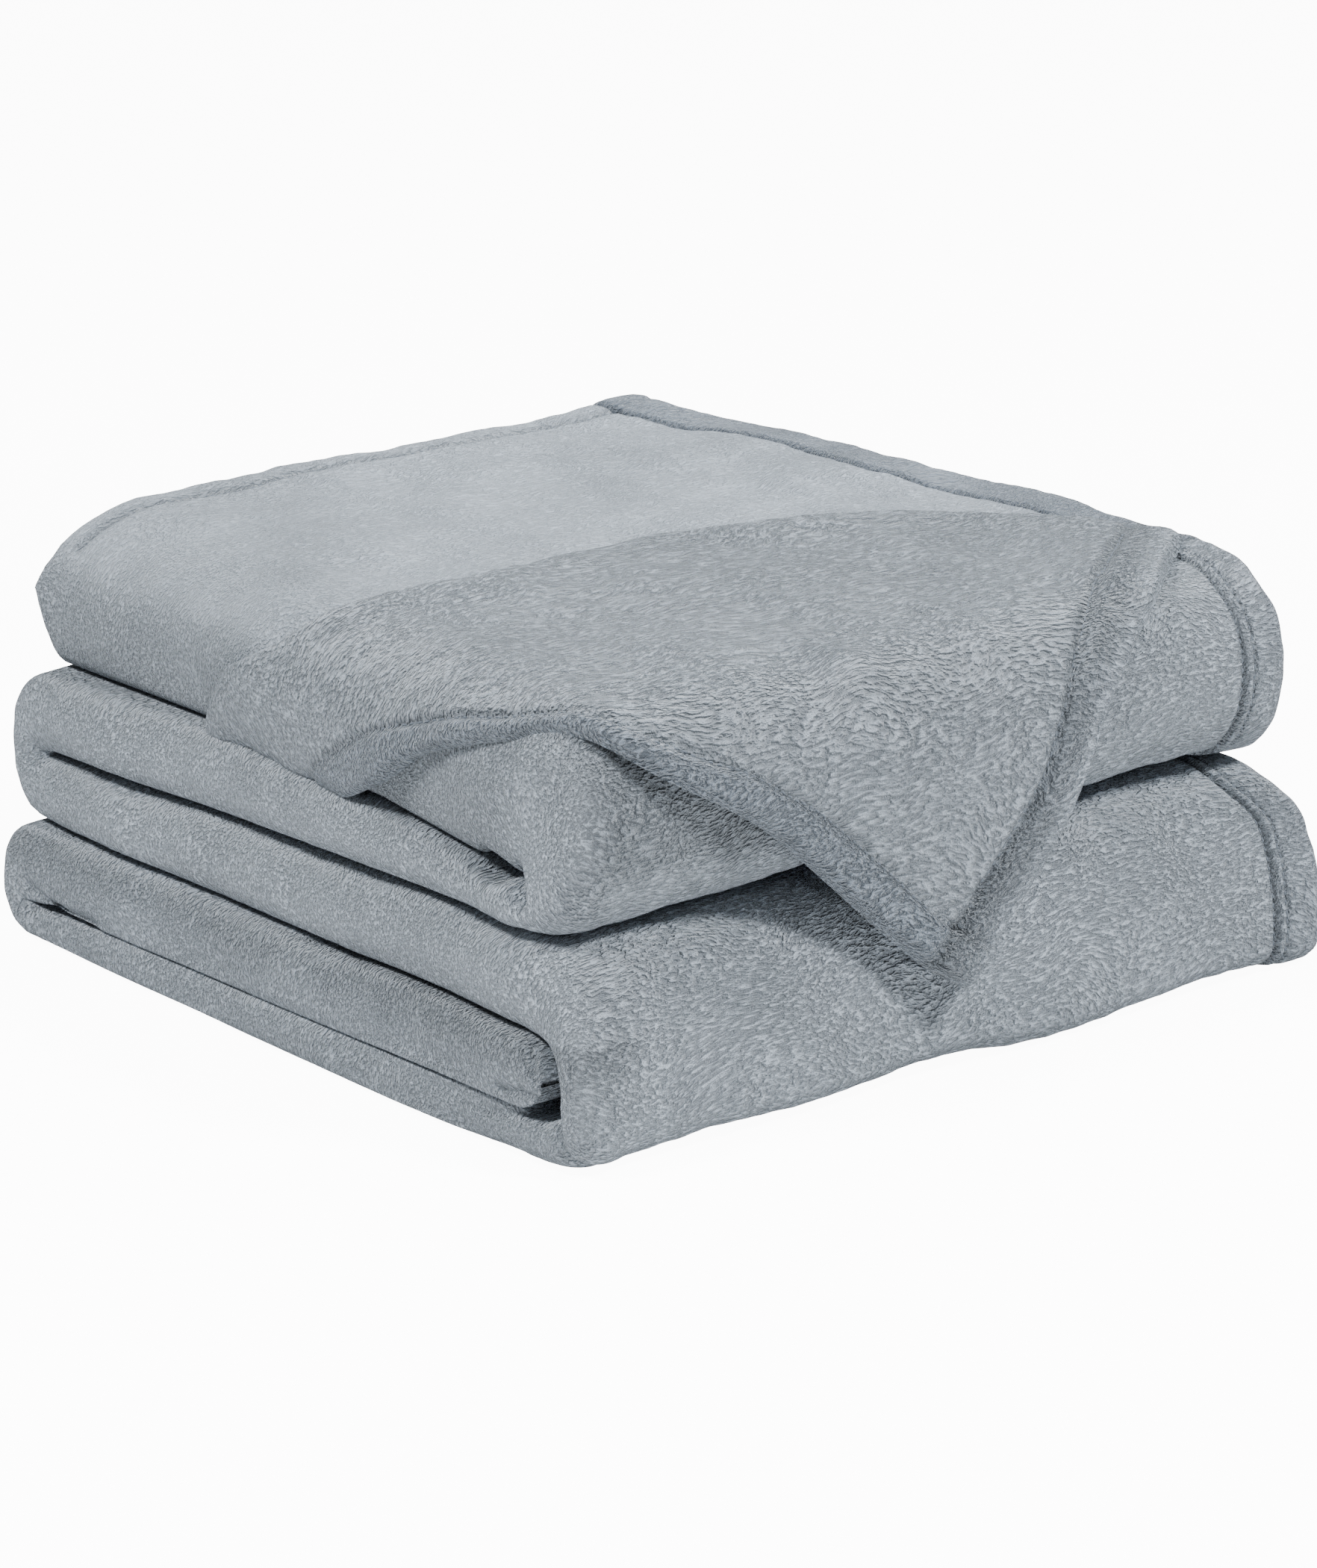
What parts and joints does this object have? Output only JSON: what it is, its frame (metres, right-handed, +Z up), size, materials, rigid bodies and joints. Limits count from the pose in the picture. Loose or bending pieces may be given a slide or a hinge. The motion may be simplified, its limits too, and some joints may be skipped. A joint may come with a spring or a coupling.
{
  "type": "folded throw blanket",
  "caption": "Plush fleece throw blanket folded into a rectangular stack, with one hemmed corner turned down over the front folds.",
  "frame": {"origin": "middle of the footprint, on the surface that the folded blanket lies on", "axes": "+Z up from that surface; -Y towards the front, where the round folds and the turned corner are; -X towards the folded lobes, +X towards the hemmed ends"},
  "size_m": [0.38, 0.3802, 0.1703],
  "materials": {
    "fleece": "short brushed plush pile, matt with a soft sheen",
    "hem": "turned hem of the same plush, flattened along its topstitch",
    "thread": "matt sewing thread, a shade darker than the cloth"
  },
  "bodies": {
    "lower_stack": {"bottom_run": "fleece", "inner_run": "fleece", "inner_end_hem": "hem", "second_run": "fleece", "bottom_side_hem": "hem", "inner_side_hem": "hem", "second_side_hem": "hem", "lower_front_fold": "fleece", "lower_fold_side_hem": "hem", "lower_fold_inner_stitching": "thread", "lower_fold_outer_stitching": "thread", "lower_back_fold": "fleece", "second_run_back_fold": "fleece"},
    "upper_stack": {"third_run": "fleece", "top_run": "fleece", "third_side_hem": "hem", "top_side_hem": "hem", "top_back_hem": "hem", "upper_front_fold": "fleece", "upper_fold_side_hem": "hem", "upper_fold_inner_stitching": "thread", "upper_fold_outer_stitching": "thread", "third_run_back_fold": "fleece", "top_side_stitching": "thread", "top_back_stitching": "thread"},
    "turned_corner": {"corner_panel": "fleece", "corner_side_hem": "hem", "corner_front_hem": "hem", "corner_side_stitching": "thread", "corner_front_stitching": "thread"},
    "hanging_tip": {"tip_panel": "fleece", "tip_side_hem": "hem", "tip_front_hem": "hem", "tip_side_stitching": "thread", "tip_front_stitching": "thread"}
  },
  "joints": [
    {"name": "upper_stack_unfold", "type": "hinge", "parent": "lower_stack", "child": "upper_stack", "pos_m": [0, 0.19035, 0.08535], "axis": [-1, 0, 0], "range_deg": [0, 180]},
    {"name": "corner_lift", "type": "hinge", "parent": "upper_stack", "child": "turned_corner", "pos_m": [0, -0.02595, 0.1704], "axis": [-1, 0, 0], "range_deg": [0, 170]},
    {"name": "tip_straighten", "type": "hinge", "parent": "turned_corner", "child": "hanging_tip", "pos_m": [0, -0.18295, 0.1693], "axis": [-1, 0, 0], "range_deg": [0, 85]}
  ],
  "couplings": [
    {"joint": "tip_straighten", "follows": "corner_lift", "ratio": 0.5}
  ]
}
